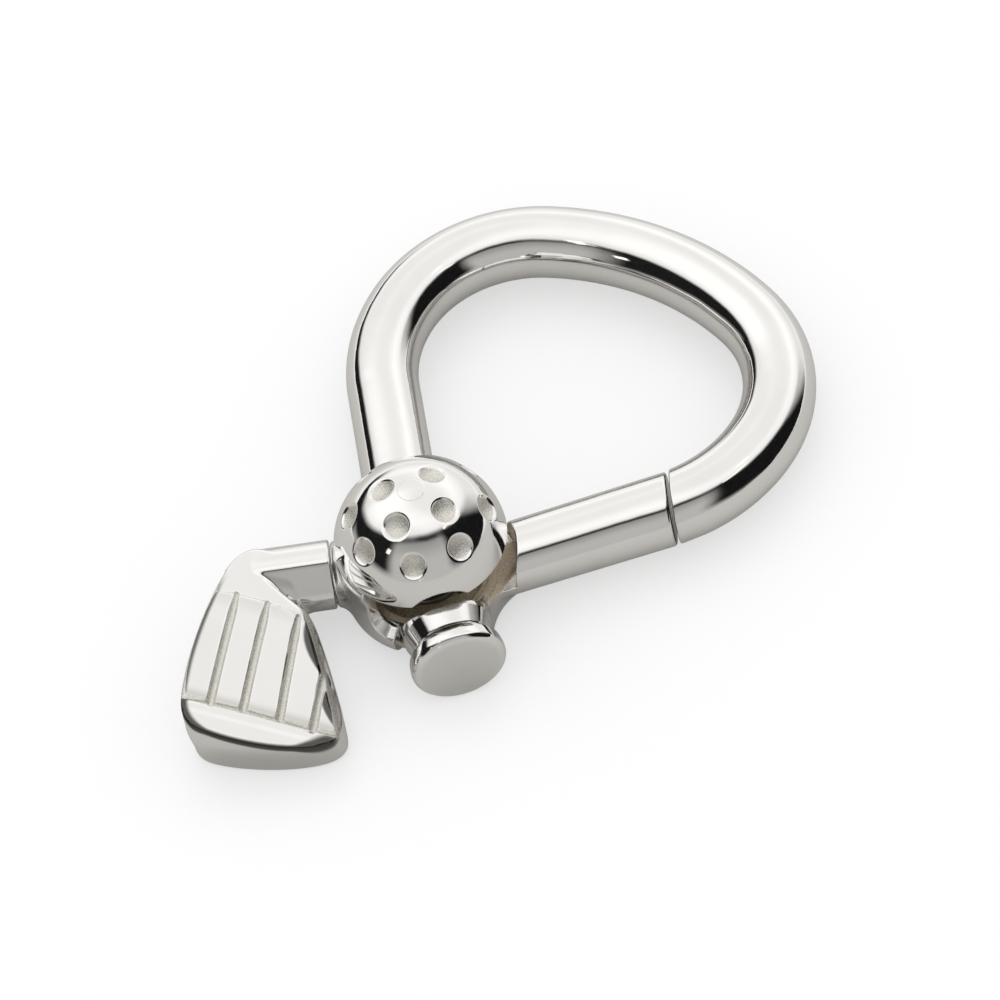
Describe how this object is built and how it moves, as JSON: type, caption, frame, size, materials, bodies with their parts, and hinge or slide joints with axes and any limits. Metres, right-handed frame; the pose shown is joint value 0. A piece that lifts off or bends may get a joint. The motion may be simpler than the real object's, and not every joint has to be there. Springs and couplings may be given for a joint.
{
  "type": "golf key ring with sprung gate",
  "caption": "Key ring of round bar with a sprung gate that pivots inward on a pin under a dimpled half ball; the crossed bars end in an iron club head and a short grip.",
  "frame": {"origin": "middle of the loop's key space, at the mid plane of the round bars", "axes": "+Y along the loop towards its far side, +Z along the pivot pin towards the half ball, +X towards the gate"},
  "size_m": [0.0332, 0.0508, 0.0125],
  "materials": {
    "polished_silver": "mirror polished silver alloy, satin inside the dimples and face grooves",
    "turned_steel": "turned stainless steel",
    "bush_bronze": "turned bronze",
    "spring_steel": "drawn spring steel wire"
  },
  "bodies": {
    "frame": {"loop_rod": "polished_silver", "housing_cup": "polished_silver", "club_head": "polished_silver", "ball_dome": "polished_silver", "spring_post": "turned_steel", "pivot_pin": "polished_silver", "pivot_bush": "bush_bronze", "washer_lower": "bush_bronze", "washer_upper": "bush_bronze"},
    "lever": {"lever_hub": "polished_silver", "gate_arm": "polished_silver", "grip_cap": "polished_silver", "return_spring": "spring_steel"}
  },
  "joints": [
    {"name": "gate_swing", "type": "hinge", "parent": "frame", "child": "lever", "pos_m": [-0.00105, -0.02, 0], "axis": [0, 0, 1], "range_deg": [0, 24], "stiffness_Nm_per_rad": 0.02, "deforming": ["return_spring"]}
  ]
}
